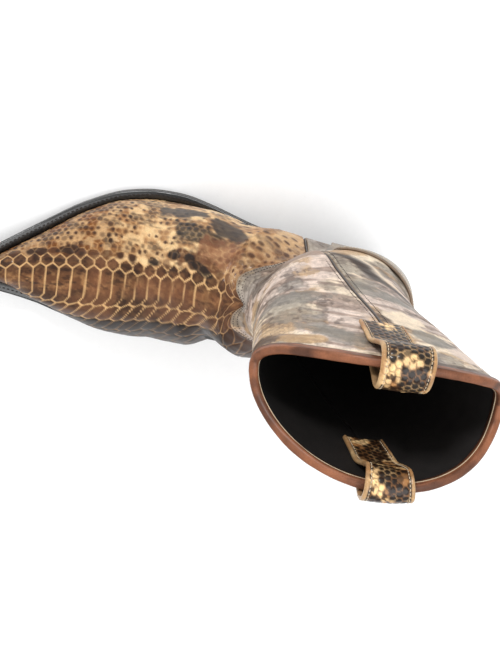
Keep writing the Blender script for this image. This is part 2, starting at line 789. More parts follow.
def shaft_leather(q, p, seed=0):
    """Worn greyish snakeskin for the shaft: blotches drawn out round the leg, and long streaks."""
    cells = Cells(q.shape)
    lattice(cells, q, p + 300, 3.6, 3.1, 0, 0, 11 + seed, 0.16)
    ragged_q = q + 5 * (rough_noise(q / 4, p / 4, 161 + seed) - 0.5) + 0.5 * (cells.seed_q - q)
    ragged_p = p + 7 * (rough_noise(q / 5, p / 5, 163 + seed) - 0.5) + 0.5 * (cells.seed_p - p)
    field = rough_noise(ragged_q / 17, ragged_p / 36, 101 + seed, 3)
    patch = smooth(0.53, 0.59, field)
    rim = smooth(0.5, 0.54, field) * (1 - smooth(0.55, 0.6, field))
    tone = cells.random(111 + seed)
    fine = rough_noise(q / 1.6, p / 3.2, 121 + seed)
    streak = rough_noise(q / 3.4, p / 30, 125 + seed)
    cloud = rough_noise(q / 20, p / 40, 131 + seed)
    colour = blend_colours(spread(ASH, q), SAND, smooth(0.45, 0.62, cloud))
    colour = blend_colours(colour, FAWN, 0.8 * smooth(0.5, 0.66, streak))
    ochre = rough_noise(ragged_q / 10, ragged_p / 22, 141 + seed)
    colour = blend_colours(colour, OCHRE, 0.7 * smooth(0.56, 0.68, ochre))
    colour = blend_colours(colour, SLATE, 0.6 * patch)
    rim = rim * smooth(0.35, 0.6, rough_noise(q / 8, p / 8, 145 + seed))
    colour = blend_colours(colour, UMBER, 0.5 * rim)
    speck = smooth(0.62, 0.72, rough_noise(ragged_q / 5, ragged_p / 7, 147 + seed))
    colour = blend_colours(colour, UMBER, 0.75 * speck * (0.3 + 0.7 * tone))
    colour = colour * (0.9 + 0.12 * tone + 0.5 * (fine - 0.5))[..., None]
    edge = 1 - smooth(0.1, 0.5, cells.border())
    worn = smooth(0.35, 0.65, rough_noise(q / 14, p / 14, 151 + seed))
    colour = blend_colours(colour, UMBER, 0.28 * edge * worn)
    height = 0.12 * dome(cells, 0.6) * (0.3 + 0.7 * worn) + 0.16 * streak
    return colour, height


def front_leather(q, p):
    """The front of the shaft, with its larger markings."""
    colour, height = shaft_leather(q, p)
    return blotched(colour, q, p, (
        ((66, 34), (6, 24), 0.15, SLATE, 0.55, 21),
        ((100, 52), (6, 18), -0.2, SLATE, 0.6, 22),
        ((112, 38), (5, 18), 0.1, OCHRE, 0.75, 23),
        ((113, 10), (5, 17), 0.1, UMBER, 0.7, 24),
        ((14, 52), (10, 22), 0.2, FAWN, 0.8, 25),
        ((16, 24), (8, 16), 0.4, UMBER, 0.45, 26),
        ((112, -40), (6, 22), 0.0, SLATE, 0.7, 28),
        ((60, -40), (9, 20), 0.2, SLATE, 0.7, 29),
    )), height


def rear_leather(q, p):
    """The back of the shaft, with a long dark streak on its outer side and a pale one under it."""
    colour, height = shaft_leather(q, p, 400)
    across = p - 74 + 1.16 * (q - 69) + 6 * (rough_noise(q / 12, p / 12, 171) - 0.5)
    reach = smooth(54, 68, q) * (1 - smooth(98, 114, q))
    dark = np.exp(-((across / 6.0) ** 4)) * reach
    pale = np.exp(-(((across + 11) / 3.0) ** 2)) * reach
    colour = blend_colours(colour, UMBER * 0.6, 0.92 * dark)
    colour = blend_colours(colour, SAND, 0.8 * pale)
    return blotched(colour, q, p, (
        ((52, 78), (12, 14), 0.0, OCHRE, 0.7, 31),
        ((114, 62), (10, 20), 0.2, SLATE, 0.7, 32),
        ((152, 62), (8, 10), 0.3, UMBER, 0.8, 33),
        ((146, 56), (12, 12), 0.3, SAND, 0.9, 34),
        ((166, 48), (9, 14), 0.3, SLATE, 0.8, 35),
        ((176, 30), (9, 12), 0.0, ASH, 0.8, 36),
        ((196, 36), (4, 40), 0.0, UMBER, 0.6, 37),
    )), height


def strap_leather(q, p, seed, dark_band):
    """Cream and tan snakeskin with near-black scales, most of all in one band across."""
    cells = Cells(q.shape)
    lattice(cells, q, p + 200, 3.5, 3.1, 0, 0, 13 + seed, 0.16)
    field = rough_noise(cells.seed_q / 11, cells.seed_p / 9, 201 + seed, 2)
    tone = cells.random(211 + seed)
    fine = rough_noise(q / 1.6, p / 1.6, 221 + seed)
    colour = blend_colours(spread(CREAM, q), PALE, tone)
    amber = smooth(0.42, 0.58, rough_noise(q / 7, p / 6, 231 + seed))
    colour = blend_colours(colour, rgb(176, 118, 66), 0.85 * amber)
    low, high = dark_band
    band = smooth(low - 3, low + 3, cells.seed_q) * (1 - smooth(high - 3, high + 3, cells.seed_q))
    scales = smooth(0.47, 0.53, field + 0.3 * band) * smooth(0.15, 0.5, cells.border() + 0.15 * tone)
    colour = blend_colours(colour, SOOT, 0.95 * scales)
    speck = smooth(0.6, 0.7, rough_noise(q / 3, p / 3, 241 + seed))
    colour = blend_colours(colour, DARK, 0.8 * speck)
    colour = blend_colours(colour, DARK, 0.5 * (1 - smooth(0.1, 0.5, cells.border())))
    colour = colour * (0.8 + 0.4 * fine)[..., None]
    return deepened(colour, 0.6, 0.3), 0.3 * dome(cells, 0.7)


# ---------------------------------------------------------------- meshes


def piece_from(name, points, faces, material, body, replaced=(), tint=None):
    """Makes an object from points in millimetres, and gives it its CAD body and material."""
    mesh = bpy.data.meshes.new(name)
    mesh.from_pydata((np.asarray(points) / 1000).tolist(), [], faces)
    mesh.validate()
    mesh.polygons.foreach_set("use_smooth", [True] * len(mesh.polygons))
    if tint is not None:
        colours = np.concatenate([tint, np.ones((len(tint), 1))], 1).astype(np.float32)
        layer = mesh.color_attributes.new("tint", "FLOAT_COLOR", "POINT")
        layer.data.foreach_set("color", colours.ravel())
    mesh.materials.append(material)
    piece = bpy.data.objects.new(name, mesh)
    bpy.context.scene.collection.objects.link(piece)
    if body is not None:
        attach(piece, body)
    if replaced:
        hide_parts(*replaced)
    return piece


def grid_faces(rows, columns):
    corner = np.arange(rows * columns).reshape(rows, columns)
    quads = np.stack([corner[:-1, :-1], corner[:-1, 1:], corner[1:, 1:], corner[1:, :-1]], -1)
    return quads.reshape(-1, 4).tolist()


def steps(count, length, fine=(0.0, 0.12, 0.35, 0.7)):
    """Shares from 0 to 1, close together at both ends, where an edge is rounded."""
    near = np.array(fine) / length
    middle = np.linspace(near[-1], 1 - near[-1], count)[1:-1]
    return np.concatenate([near, middle, (1 - near)[::-1]])


def coarse_lines(count, stride):
    lines = list(range(0, count - 1, stride))
    return lines + [count - 1]


def shell_faces(rows, columns, stride=6):
    """Faces of a sheet: fine in front, coarse behind, where only the rim is as fine."""
    front = grid_faces(rows, columns)
    total = rows * columns

    def behind(row, column):
        return total + row * columns + column

    row_lines, column_lines = coarse_lines(rows, stride), coarse_lines(columns, stride)
    back = []
    for r0, r1 in zip(row_lines[:-1], row_lines[1:]):
        for c0, c1 in zip(column_lines[:-1], column_lines[1:]):
            across_low = range(c0, c1) if r0 == 0 else [c0]
            up_right = range(r0, r1) if c1 == columns - 1 else [r0]
            across_high = range(c1, c0, -1) if r1 == rows - 1 else [c1]
            down_left = range(r1, r0, -1) if c0 == 0 else [r1]
            ring = [behind(r0, c) for c in across_low] + [behind(r, c1) for r in up_right]
            ring += [behind(r1, c) for c in across_high] + [behind(r, c0) for r in down_left]
            back.append(ring[::-1])
    rim = [(0, c) for c in range(columns - 1)] + [(r, columns - 1) for r in range(rows - 1)]
    rim += [(rows - 1, c) for c in range(columns - 1, 0, -1)] + [(r, 0) for r in range(rows - 1, 0, -1)]
    sides = []
    for (r0, c0), (r1, c1) in zip(rim, rim[1:] + rim[:1]):
        a, b = r0 * columns + c0, r1 * columns + c1
        sides.append([b, a, total + a, total + b])
    return front + back + sides


def drop_unused(points, faces, tint):
    used = np.zeros(len(points), bool)
    for face in faces:
        used[face] = True
    index = np.cumsum(used) - 1
    return points[used], [[int(index[i]) for i in face] for face in faces], tint[used]


def edge_fall(points, round_over=0.7):
    """How far a sheet's outer face drops towards its edges, in millimetres."""
    rows, columns = points.shape[:2]
    down = np.cumsum(np.linalg.norm(np.diff(points, axis=0), axis=-1), 0)
    down = np.concatenate([np.zeros((1, columns)), down])
    across = np.cumsum(np.linalg.norm(np.diff(points, axis=1), axis=-1), 1)
    across = np.concatenate([np.zeros((rows, 1)), across], 1)
    near = np.minimum(np.minimum(down, down[-1:] - down), np.minimum(across, across[:, -1:] - across))
    return round_over * (1 - round_end(near / round_over)), near


def distances(points, centre_column):
    """q along the centre column and signed p across each row."""
    along = np.linalg.norm(np.diff(points[:, centre_column], axis=0), axis=-1)
    q = np.concatenate([[0], np.cumsum(along)])
    across = np.linalg.norm(np.diff(points, axis=1), axis=-1)
    p = np.concatenate([np.zeros((len(points), 1)), np.cumsum(across, 1)], 1)
    p = p - p[:, centre_column : centre_column + 1]
    return np.broadcast_to(q[:, None], p.shape), p


def sheet(name, u, v, offset, thick, leather, material, replaced, relief=None, contrast=0.3):
    """A sheet of leather on the upper's face. leather(q, p) gives its colour and height."""
    base, normals = face_frame(u, v)
    q, p = distances(base, base.shape[1] // 2)
    colour, height = leather(q, -p)
    colour = deepened(colour, contrast)
    fall, near = edge_fall(base)
    height = height * smooth(0, 1.5, near)
    if relief is not None:
        height = height + relief(base, q, -p, near)
    outer = base + normals * (offset + height - fall * thick / 1.6)[..., None]
    inner = base + normals * (offset - thick)
    edge_colour = blend_colours(colour, rgb(150, 120, 92), 0.55 * (1 - smooth(0.2, 0.9, near)))
    rows, columns = base.shape[:2]
    points = np.concatenate([outer.reshape(-1, 3), inner.reshape(-1, 3)])
    flesh_side = np.broadcast_to(rgb(120, 96, 76), (rows * columns, 3))
    tint = np.concatenate([edge_colour.reshape(-1, 3), flesh_side])
    points, faces, tint = drop_unused(points, shell_faces(rows, columns), tint)
    return piece_from(name, points, faces, material, "boot", replaced, tint)


def tube_faces(rings, sides, closed=False):
    faces = []
    for i in range(rings if closed else rings - 1):
        here, following = i * sides, ((i + 1) % rings) * sides
        for k in range(sides):
            k2 = (k + 1) % sides
            faces.append([here + k, here + k2, following + k2, following + k])
    if not closed:
        faces.append(list(range(sides))[::-1])
        faces.append([(rings - 1) * sides + k for k in range(sides)])
    return faces


# ---------------------------------------------------------------- materials


def new_material(name):
    material = bpy.data.materials.new(name)
    material.use_nodes = True
    nodes = material.node_tree.nodes
    return material, nodes, material.node_tree.links, nodes["Principled BSDF"]


def texture(nodes, links, kind, scale, detail=4.0, roughness=0.6, stretch=(1, 1, 1)):
    """A 3-D texture in millimetres of the object's own space: its scale is features per mm."""
    place = nodes.new("ShaderNodeTexCoord")
    mapping = nodes.new("ShaderNodeMapping")
    mapping.inputs["Scale"].default_value = [1000 * share for share in stretch]
    links.new(place.outputs["Object"], mapping.inputs["Vector"])
    node = nodes.new(kind)
    node.inputs["Scale"].default_value = scale
    if kind == "ShaderNodeTexNoise":
        node.inputs["Detail"].default_value = detail
        node.inputs["Roughness"].default_value = roughness
    links.new(mapping.outputs["Vector"], node.inputs["Vector"])
    return node


def ranged(nodes, links, socket, low, high, start=0.3, stop=0.7):
    node = nodes.new("ShaderNodeMapRange")
    node.inputs["From Min"].default_value = start
    node.inputs["From Max"].default_value = stop
    node.inputs["To Min"].default_value = low
    node.inputs["To Max"].default_value = high
    links.new(socket, node.inputs["Value"])
    return node.outputs["Result"]


def multiplied(nodes, links, colour, factor):
    node = nodes.new("ShaderNodeVectorMath")
    node.operation = "SCALE"
    links.new(colour, node.inputs[0])
    links.new(factor, node.inputs["Scale"])
    return node.outputs["Vector"]


def bumped(nodes, links, shader, layers):
    """Chains bump nodes. A layer is a height socket, a strength and a depth in millimetres."""
    normal = None
    for height, strength, depth in layers:
        bump = nodes.new("ShaderNodeBump")
        bump.inputs["Strength"].default_value = strength
        bump.inputs["Distance"].default_value = depth / 1000
        links.new(height, bump.inputs["Height"])
        if normal is not None:
            links.new(normal, bump.inputs["Normal"])
        normal = bump.outputs["Normal"]
    links.new(normal, shader.inputs["Normal"])


def tinted(name, roughness, coat, coat_roughness, grain, depth, mottling=0.16, pores=0.5):
    """Leather whose colour is laid out on the mesh, with pores, mottling and uneven gloss."""
    material, nodes, links, shader = new_material(name)
    layout = nodes.new("ShaderNodeAttribute")
    layout.attribute_name = "tint"
    cloud = texture(nodes, links, "ShaderNodeTexNoise", 0.16)
    dust = texture(nodes, links, "ShaderNodeTexNoise", 1.4, 6)
    pore = texture(nodes, links, "ShaderNodeTexVoronoi", 1.6)
    shade = ranged(nodes, links, cloud.outputs["Fac"], depth * (1 - mottling), depth * (1 + mottling))
    colour = multiplied(nodes, links, layout.outputs["Color"], shade)
    colour = multiplied(nodes, links, colour,
                        ranged(nodes, links, dust.outputs["Fac"], 1 - mottling, 1 + mottling))
    links.new(colour, shader.inputs["Base Color"])
    links.new(ranged(nodes, links, cloud.outputs["Fac"], roughness - 0.07, roughness + 0.1),
              shader.inputs["Roughness"])
    shader.inputs["Specular IOR Level"].default_value = 0.2
    shader.inputs["Coat Weight"].default_value = coat
    shader.inputs["Coat Roughness"].default_value = coat_roughness
    bumped(nodes, links, shader, [
        (pore.outputs["Distance"], pores * 0.4, grain),
        (dust.outputs["Fac"], pores, grain),
    ])
    return material


def plain(name, colour, roughness, coat=0.0, grain=0.1, scale=1.2, variation=0.2, metallic=0.0,
          stretch=(1, 1, 1)):
    """One colour with uneven tone and gloss and a fine surface."""
    material, nodes, links, shader = new_material(name)
    cloud = texture(nodes, links, "ShaderNodeTexNoise", 0.12, stretch=stretch)
    dust = texture(nodes, links, "ShaderNodeTexNoise", scale, 6, stretch=stretch)
    base = nodes.new("ShaderNodeRGB")
    base.outputs["Color"].default_value = (*colour, 1)
    shade = multiplied(nodes, links, base.outputs["Color"],
                       ranged(nodes, links, cloud.outputs["Fac"], 1 - variation, 1 + variation))
    shade = multiplied(nodes, links, shade,
                       ranged(nodes, links, dust.outputs["Fac"], 1 - variation, 1 + variation))
    links.new(shade, shader.inputs["Base Color"])
    links.new(ranged(nodes, links, dust.outputs["Fac"], roughness - 0.08, roughness + 0.08),
              shader.inputs["Roughness"])
    shader.inputs["Coat Weight"].default_value = coat
    shader.inputs["Coat Roughness"].default_value = 0.15
    shader.inputs["Metallic"].default_value = metallic
    bumped(nodes, links, shader, [(dust.outputs["Fac"], 0.5, grain)])
    return material


snakeskin = tinted("snakeskin", 0.38, 0.14, 0.1, 0.12, 0.78)
shaft_skin = tinted("shaft_skin", 0.48, 0.05, 0.25, 0.14, 0.9)
strap_skin = tinted("strap_skin", 0.36, 0.25, 0.12, 0.12, 1.0)
binding_skin = tinted("binding_skin", 0.45, 0.1, 0.25, 0.12, 0.85)
black_edge = plain("black_edge", rgb(16, 16, 16), 0.34, 0.4, 0.03, 0.5)
black_sole = plain("black_sole", rgb(34, 27, 24), 0.55, 0.1, 0.15, 0.9, 0.3)
rubber = plain("rubber", rgb(24, 24, 25), 0.7, 0.0, 0.2, 1.8)
lining_skin = plain("lining_skin", rgb(30, 27, 26), 0.62, 0.0, 0.16, 1.3, 0.25)
piping_skin = plain("piping_skin", rgb(50, 37, 30), 0.42, 0.2, 0.12, 1.1, 0.25)
thread_pale = plain("thread_pale", rgb(196, 176, 148), 0.7, 0.0, 0.08, 3.0, 0.25)
thread_dark = plain("thread_dark", rgb(40, 30, 26), 0.65, 0.0, 0.08, 3.0, 0.25)
board = plain("board", rgb(160, 128, 92), 0.85, 0.0, 0.12, 1.5, 0.25)
cork = plain("cork", rgb(176, 138, 92), 0.9, 0.0, 0.3, 0.7, 0.45)
steel = plain("steel", rgb(150, 152, 156), 0.32, 0.0, 0.05, 2.0, 0.1, 1.0, (1, 0.1, 1))

CAD_MATERIALS = {
    "vamp_lining": lining_skin,
    "sock_lining": lining_skin,
    "toe_stiffener": board,
    "heel_stiffener": board,
    "insole": board,
    "cork_filler": cork,
    "shank": steel,
}
for node_name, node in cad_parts.items():
    if node_name.startswith("heel_nail"):
        CAD_MATERIALS[node_name] = steel
    if node_name in CAD_MATERIALS:
        for material_slot in node.material_slots:
            material_slot.material = CAD_MATERIALS[node_name]

# ---------------------------------------------------------------- the upper's leather

e, j = np.meshgrid(2 * steps(230, 150) - 1, (FOOT_ROWS + SIDE_ROWS + 1) * steps(330, 210))


def fuller_side(points, q, p, near):
    """The inner side of the toe stands fuller, over the welt."""
    side = smooth(-12, -30, p) * smooth(4, 40, q) * (1 - smooth(110, 165, q))
    return 4.0 * side * smooth(0.5, 5, near)


sheet("vamp_leather", *vamp_place(e, j), 0.0, UPPER_THICK, vamp_leather, snakeskin, ["vamp"],
      fuller_side, 0.55)


def ankle_folds(points, q, p, near):
    """Soft folds round the ankle and long wrinkles up the shaft."""
    height = points[..., 2]
    folds = 0.0
    for level, depth, width, phase in (
        (98, 1.6, 4.5, 0.3),
        (113, 2.0, 5.0, 1.7),
        (129, 1.7, 5.5, 2.9),
        (147, 1.0, 6.0, 4.4),
    ):
        wave = level + 6 * np.sin(p / 24 + phase) + 5 * (noise(p / 20, phase + 0 * p, 83) - 0.5)
        share = smooth(0.25, 0.7, noise(p / 30 + phase * 7, phase + 0 * p, 87))
        folds = folds - depth * share * np.exp(-(((height - wave) / width) ** 2))
    wrinkles = (rough_noise(p / 34, height / 5.0, 91) - 0.5) * 1.1 * smooth(88, 110, height)
    return (0.75 * folds + wrinkles) * smooth(1, 14, near)


def over_vamp(points, q, p, near):
    """Near its scalloped edge the shaft rises over the vamp."""
    rise = (UPPER_THICK + GAP) * (1 - smooth(OVERLAP + 2, OVERLAP + 26, q))
    band = 0.35 * (1 - smooth(6.4, 7.4, q))
    return rise + band + ankle_folds(points, q, p, near)


# Rough lengths that turn a distance in millimetres into a share of the way up. The front is 122
# to 175 mm from its scalloped edge to the top line, and one unit of b is 193 to 215 mm at the
# counter's edge, so the rows of stitches keep only about to their insets.
FRONT_RUN = 165.0
COUNTER_RUN = 175.0
c, d = np.meshgrid(2 * steps(200, 150) - 1, steps(210, FRONT_RUN))
sheet("shaft_front_leather", *front_place(c, d), 0.0, UPPER_THICK, front_leather, shaft_skin,
      ["shaft_front"], over_vamp)

a, b = np.meshgrid(2 * steps(200, 150) - 1, mix(BACK_START, 1, steps(260, 235)))
sheet("shaft_back_leather", *back_place(a, b), 0.0, UPPER_THICK, rear_leather, shaft_skin,
      ["shaft_back"], ankle_folds)

a, b = np.meshgrid(COUNTER_END * (2 * steps(150, 110) - 1), steps(90, 64))
b = mix(BACK_START, counter_line(a), b)


def counter_leather(q, p):
    colour, height = shaft_leather(q, p, 800)
    return blend_colours(colour, rgb(134, 130, 122), 0.6), height * 0.6


sheet("counter_leather", *back_place(a, b), GAP + UPPER_THICK, UPPER_THICK, counter_leather, snakeskin,
      ["counter"])


def lining(name, u, v, depth, replaced):
    outer, inner = skin(u, v, -depth), skin(u, v, -depth - LINING_THICK)
    points = np.concatenate([outer.reshape(-1, 3), inner.reshape(-1, 3)])
    piece_from(name, points, shell_faces(*u.shape, stride=1), lining_skin, "boot", [replaced])


LINING_DEPTH = UPPER_THICK + GAP
LINING_EDGE = 0.15
c, d = np.meshgrid(np.linspace(-1, 1, 70), np.linspace(0.01, 1, 70))
lining("shaft_front_lining", *front_place(c, d, LINING_EDGE), LINING_DEPTH, "shaft_lining_front")
a, b = np.meshgrid(np.linspace(-1, 1, 90), np.linspace(BACK_START, 1, 90))
bulge = (HEEL_CUP_THICK + GAP) * (1 - smooth(0.6, 0.9, np.abs(a))) * (1 - smooth(0.2, 0.36, b))
lining("shaft_back_lining", *back_place(a, b, LINING_EDGE), LINING_DEPTH + bulge, "shaft_lining_back")

# ---------------------------------------------------------------- piping and binding


def side_piping(name, sign, replaced):
    rings, sides, radius = 240, 12, 0.8
    b = np.linspace(JUNCTION_B / SIDE_ROWS, 0.975, rings)[:, None]
    angle = np.arange(sides) * 2 * math.pi / sides
    ribs = 1 + 0.05 * np.sin(np.arange(rings) * 1.9)[:, None]
    u = beside_seam(sign, b, radius * ribs * np.cos(angle))
    offset = radius * ribs * np.sin(angle) - PIPING_DEPTH
    points = skin(sign * u, seam_v(b) + 0 * u, offset).reshape(-1, 3)
    piece_from(name, points, tube_faces(rings, sides), piping_skin, "boot", [replaced])


side_piping("side_cord_left", 1, "side_piping_left")
side_piping("side_cord_right", -1, "side_piping_right")


def lip_point(u, height, offset):
    return skin(u, lip_v(u) + height * v_per_mm(u, 0.97 + 0 * u), offset)


WALL_THICK = UPPER_THICK + GAP + LINING_THICK


def binding():
    outside = GAP + BINDING_THICK * 0.6
    inside = -WALL_THICK - GAP - BINDING_THICK * 0.45
    middle, half = (outside + inside) / 2, (outside - inside) / 2
    arc = np.linspace(0, math.pi, 15)
    profile = [
        (outside, -BINDING_LEG),
        (outside + 0.12, -BINDING_LEG * 0.6),
        (outside + 0.05, -BINDING_LEG * 0.2),
    ]
    profile += [(middle + half * math.cos(t), 0.3 + 1.5 * math.sin(t)) for t in arc]
    profile += [(inside - 0.05, -BINDING_LEG * 0.4), (inside, -BINDING_LEG)]
    profile += [(-WALL_THICK - 0.1, -BINDING_LEG), (-WALL_THICK - 0.1, GAP * 0.8)]
    profile += [(GAP * 0.5, GAP * 0.8), (GAP * 0.5, -BINDING_LEG)]
    profile = np.array(profile)
    rings = 420
    u = np.linspace(-1, 1, rings, endpoint=False)[:, None] + 0 * profile[:, 0]
    around = np.arange(rings)[:, None]
    wave = 0.22 * (noise(around / 5.0, profile[:, 1] / 3, 301) - 0.5)
    wave = wave + 0.25 * (noise(around / 17.0, 0 * profile[:, 1], 303) - 0.5)
    outer = smooth(-WALL_THICK, GAP, profile[:, 0])
    points = lip_point(u, profile[:, 1] + 0 * u, profile[:, 0] + wave * (2 * outer - 1))
    tone = rough_noise(around / 14.0, profile[:, 1] / 2 + 0 * u, 305)
    colour = blend_colours(spread(rgb(150, 96, 68), u), rgb(92, 60, 46), smooth(0.3, 0.8, tone))
    low = smooth(-BINDING_LEG * 0.7, -BINDING_LEG, profile[:, 1]) + 0 * u
    colour = blend_colours(colour, rgb(64, 42, 34), 0.75 * low)
    faces = tube_faces(rings, len(profile), True)
    piece_from("rolled_binding", points.reshape(-1, 3), faces, binding_skin, "boot", ["top_binding"],
               colour.reshape(-1, 3))
    return inside


binding_inside = binding()

# ---------------------------------------------------------------- threads


def along_path(path, spacing, start=0.0):
    """Evenly spaced places along a polyline, and how far along it each of its points is."""
    length = np.concatenate([[0], np.cumsum(np.linalg.norm(np.diff(path, axis=0), axis=-1))])
    places = np.arange(start, length[-1], spacing)
    return places, length


def interpolated(places, length, values):
    return np.stack([np.interp(places, length, values[:, k]) for k in range(3)], -1)


def stitches(name, path, normals, pitch, stitch, radius, material, body="boot", lift=0.0):
    """A row of thread stitches laid on a surface, each a short bowed strand."""
    places, length = along_path(path, pitch, 0.2 * pitch)
    places = places[places + stitch < length[-1]]
    sides, rings = 6, 6
    points, faces = [], []
    angle = np.arange(sides) * 2 * math.pi / sides
    for place in places:
        share = np.linspace(0, 1, rings)
        at = interpolated(place + stitch * share, length, path)
        up = unit(interpolated(place + stitch * share, length, normals))
        ahead = unit(np.gradient(at, axis=0))
        beside = unit(np.cross(ahead, up))
        bow = np.sin(math.pi * share)
        at = at + up * (lift + radius * (1.3 * bow - 0.9))[:, None]
        thick = (radius * (0.45 + 0.55 * bow ** 0.5))[:, None, None]
        outward = beside[:, None] * np.cos(angle)[:, None] + up[:, None] * np.sin(angle)[:, None]
        ring = at[:, None] + thick * outward
        start = len(points) * rings * sides
        faces += [[start + k for k in face] for face in tube_faces(rings, sides)]
        points.append(ring.reshape(-1, 3))
    return piece_from(name, np.concatenate(points), faces, material, body)


def strand(name, path, normals, radius, material):
    """A thread laid along a closed path."""
    sides = 8
    ahead = unit(np.roll(path, -1, 0) - np.roll(path, 1, 0))
    beside = unit(np.cross(ahead, normals))
    up = np.cross(beside, ahead)
    angle = np.arange(sides)[:, None] * 2 * math.pi / sides
    ring = path[:, None] + radius * (beside[:, None] * np.cos(angle) + up[:, None] * np.sin(angle))
    return piece_from(name, ring.reshape(-1, 3), tube_faces(len(path), sides, True), material, "boot")


def on_face(u, v, offset):
    points, normals = face_frame(u, v)
    return points + normals * np.asarray(offset)[..., None], normals


turn = np.linspace(-1, 1, 600, endpoint=False)
points = lip_point(turn, -1.6 + 0 * turn, binding_inside - 0.12 + 0 * turn)
normals = face_frame(turn, lip_v(turn))[1]
strand("binding_thread", points, -normals, 0.26, thread_pale)


def front_rows(inset, pitch, stitch, radius, material, name):
    """Stitching inside the front shaft's scalloped edge."""
    c = np.linspace(-0.985, 0.985, 500)
    share = inset / FRONT_RUN
    u, v = front_place(c, share + 0 * c)
    path, normals = on_face(u, v, UPPER_THICK + GAP + 0.35 + 0 * u)
    stitches(name, path, normals, pitch, stitch, radius, material)


front_rows(2.2, 1.9, 1.5, 0.3, thread_dark, "scallop_stitches_outer")
front_rows(5.6, 1.9, 1.5, 0.3, thread_dark, "scallop_stitches_inner")


def seam_rows(name, sign, shift, low, offset, material):
    b = np.linspace(low, 0.955, 400)
    u = sign * beside_seam(sign, b, shift)
    path, normals = on_face(u, seam_v(b), offset + 0 * b)
    stitches(name, path, normals, 2.0, 1.6, 0.28, material)


for side_name, sign in (("left", 1), ("right", -1)):
    seam_rows("side_stitches_front_" + side_name, sign, -3.4, JUNCTION_B + 0.02, 0.1, thread_dark)
    seam_rows("side_stitches_back_" + side_name, sign, 3.4, 0.1, 0.1, thread_dark)

a = np.linspace(-COUNTER_END * 0.97, COUNTER_END * 0.97, 400)
for row_name, inset in (("outer", 2.4), ("inner", 5.4)):
    u, v = back_place(a, counter_line(a) - inset / COUNTER_RUN)
    path, normals = on_face(u, v, GAP + UPPER_THICK + 0.05 + 0 * a)
    stitches("counter_stitches_" + row_name, path, normals, 2.0, 1.6, 0.28, thread_pale)

# ---------------------------------------------------------------- pull straps


def rounded_path(points, count):
    """A smooth path through points, evenly stepped along its length, and its headings."""
    points = np.array(points, float)
    padded = np.concatenate([[2 * points[0] - points[1]], points, [2 * points[-1] - points[-2]]])
    pieces = []
    for k in range(len(points) - 1):
        p0, p1, p2, p3 = padded[k : k + 4]
        t = np.linspace(0, 1, 24, endpoint=False)[:, None]
        spline = 2 * p1 + (p2 - p0) * t + (2 * p0 - 5 * p1 + 4 * p2 - p3) * t**2
        pieces.append(0.5 * (spline + (3 * p1 - p0 - 3 * p2 + p3) * t**3))
    path = np.concatenate(pieces + [points[-1:]])
    length = np.concatenate([[0], np.cumsum(np.linalg.norm(np.diff(path, axis=0), axis=-1))])
    even = np.linspace(0, length[-1], count)
    path = np.stack([np.interp(even, length, path[:, k]) for k in range(2)], -1)
    return path, unit(np.gradient(path, axis=0)), even


